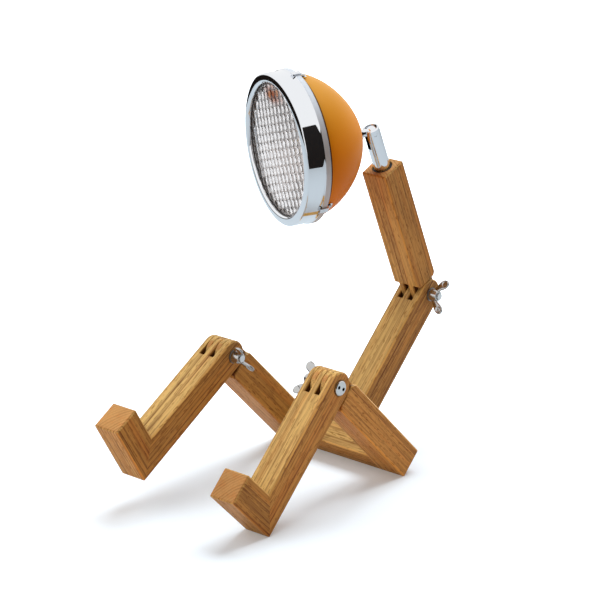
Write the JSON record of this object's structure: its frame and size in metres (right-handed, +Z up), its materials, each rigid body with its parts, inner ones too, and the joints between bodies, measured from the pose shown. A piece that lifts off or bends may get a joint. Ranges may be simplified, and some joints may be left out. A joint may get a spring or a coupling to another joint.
{
  "type": "desk lamp",
  "caption": "Desk lamp shaped like a seated robot: square wooden bars on wing-nut knuckle hinges, with a round chrome-rimmed headlamp that pans and tilts on a post.",
  "frame": {"origin": "middle of the flat strip along the rear lower edge of the hips, on which the lamp sits", "axes": "+Z up from the table, -Y the way the robot faces (toes and lens), +X toward the robot's left hand side"},
  "size_m": [0.1407, 0.2866, 0.2863],
  "materials": {
    "hip_crossbar_wood": "oiled hardwood with straight open grain along the bar",
    "left_thigh_wood": "oiled hardwood with straight open grain along the bar",
    "right_thigh_wood": "oiled hardwood with straight open grain along the bar",
    "torso_bar_wood": "oiled hardwood with straight open grain along the bar",
    "left_shin_wood": "oiled hardwood with straight open grain along the bar",
    "left_foot_wood": "oiled hardwood with straight open grain along the bar",
    "right_shin_wood": "oiled hardwood with straight open grain along the bar",
    "right_foot_wood": "oiled hardwood with straight open grain along the bar",
    "chest_bar_wood": "oiled hardwood with straight open grain along the bar",
    "dowel_wood": "plain turned hardwood",
    "steel": "bright zinc-plated steel",
    "wing_nut_metal": "tumbled nickel-plated casting",
    "chrome_plate": "polished chrome plate",
    "post_chrome": "polished chrome plate",
    "shell_enamel": "satin amber-orange enamel",
    "brass": "plain turned brass",
    "black_rubber": "matt black rubber",
    "black_fibre": "matt black fibre",
    "lens_glass": "clear pressed glass with rows of rounded flutes on its face",
    "reflector_metal": "bright-dipped spun aluminium",
    "sink_metal": "plain milled aluminium",
    "led_board_white": "white solder mask",
    "emitter_yellow": "yellow phosphor disc",
    "driver_green": "green circuit board",
    "terminal_white": "off-white nylon",
    "red_sleeve": "red insulation",
    "black_sleeve": "black insulation"
  },
  "bodies": {
    "hips": {"hip_crossbar": "hip_crossbar_wood", "left_thigh": "left_thigh_wood", "right_thigh": "right_thigh_wood", "left_hip_dowels": "dowel_wood", "right_hip_dowels": "dowel_wood", "torso_bar": "torso_bar_wood", "torso_dowels": "dowel_wood", "neck_bolt": "steel", "neck_washer": "steel"},
    "neck_nut": {"neck_wing_nut": "wing_nut_metal"},
    "left_leg": {"left_shin": "left_shin_wood", "left_foot": "left_foot_wood", "left_foot_dowels": "dowel_wood", "left_knee_bolt": "steel", "left_knee_washer": "steel"},
    "left_knee_nut": {"left_knee_wing_nut": "wing_nut_metal"},
    "right_leg": {"right_shin": "right_shin_wood", "right_foot": "right_foot_wood", "right_foot_dowels": "dowel_wood", "right_knee_bolt": "steel", "right_knee_washer": "steel"},
    "right_knee_nut": {"right_knee_wing_nut": "wing_nut_metal"},
    "chest": {"chest_bar": "chest_bar_wood", "pan_insert": "brass", "pan_washer": "black_fibre"},
    "swivel": {"swivel_post": "post_chrome", "tilt_pin": "post_chrome"},
    "head": {"ball_stud": "post_chrome", "stem_washer": "black_fibre", "stem_nut": "steel", "lamp_shell": "shell_enamel", "lamp_rim": "chrome_plate", "rim_clips": "chrome_plate", "clip_screws": "steel", "lens": "lens_glass", "lens_gasket": "black_rubber", "reflector": "reflector_metal", "led_board": "led_board_white", "led_emitter": "emitter_yellow", "led_screws": "steel", "heat_sink": "sink_metal", "driver_standoffs": "brass", "driver_board": "driver_green", "driver_screws": "steel", "terminal_block": "terminal_white", "led_leads": "red_sleeve", "switch_leads": "black_sleeve", "switch_body": "black_sleeve", "switch_nut": "chrome_plate", "cord_grommet": "black_rubber"},
    "button": {"switch_button": "chrome_plate"}
  },
  "joints": [
    {"name": "left_knee", "type": "hinge", "parent": "hips", "child": "left_leg", "pos_m": [0.049, -0.07142, 0.08627], "axis": [1, 0, 0], "range_deg": [-180, 0]},
    {"name": "right_knee", "type": "hinge", "parent": "hips", "child": "right_leg", "pos_m": [-0.049, -0.07142, 0.08627], "axis": [1, 0, 0], "range_deg": [-106, 14]},
    {"name": "neck", "type": "hinge", "parent": "hips", "child": "chest", "pos_m": [0, 0.08839, 0.10324], "axis": [1, 0, 0], "range_deg": [-158, 22]},
    {"name": "left_knee_nut_turn", "type": "hinge", "parent": "left_leg", "child": "left_knee_nut", "pos_m": [0.049, -0.07142, 0.08627], "axis": [-1, 0, 0], "range_deg": [0, 360]},
    {"name": "right_knee_nut_turn", "type": "hinge", "parent": "right_leg", "child": "right_knee_nut", "pos_m": [-0.049, -0.07142, 0.08627], "axis": [1, 0, 0], "range_deg": [0, 360]},
    {"name": "neck_nut_turn", "type": "hinge", "parent": "hips", "child": "neck_nut", "pos_m": [0, 0.08839, 0.10324], "axis": [1, 0, 0], "range_deg": [0, 360]},
    {"name": "head_pan", "type": "hinge", "parent": "chest", "child": "swivel", "pos_m": [0, 0.03837, 0.22106], "axis": [0, -0.3907, 0.9205], "range_deg": [-139.5, 190.5]},
    {"name": "head_tilt", "type": "hinge", "parent": "swivel", "child": "head", "pos_m": [0, 0.03251, 0.23487], "axis": [0.9026, -0.3963, -0.1682], "range_deg": [-70, 25]},
    {"name": "switch_press", "type": "slide", "parent": "head", "child": "button", "axis": [0.2912, -0.868, -0.4023], "range_m": [0, 0.0015], "stiffness_N_per_m": 600, "springref_m": -0.001}
  ]
}
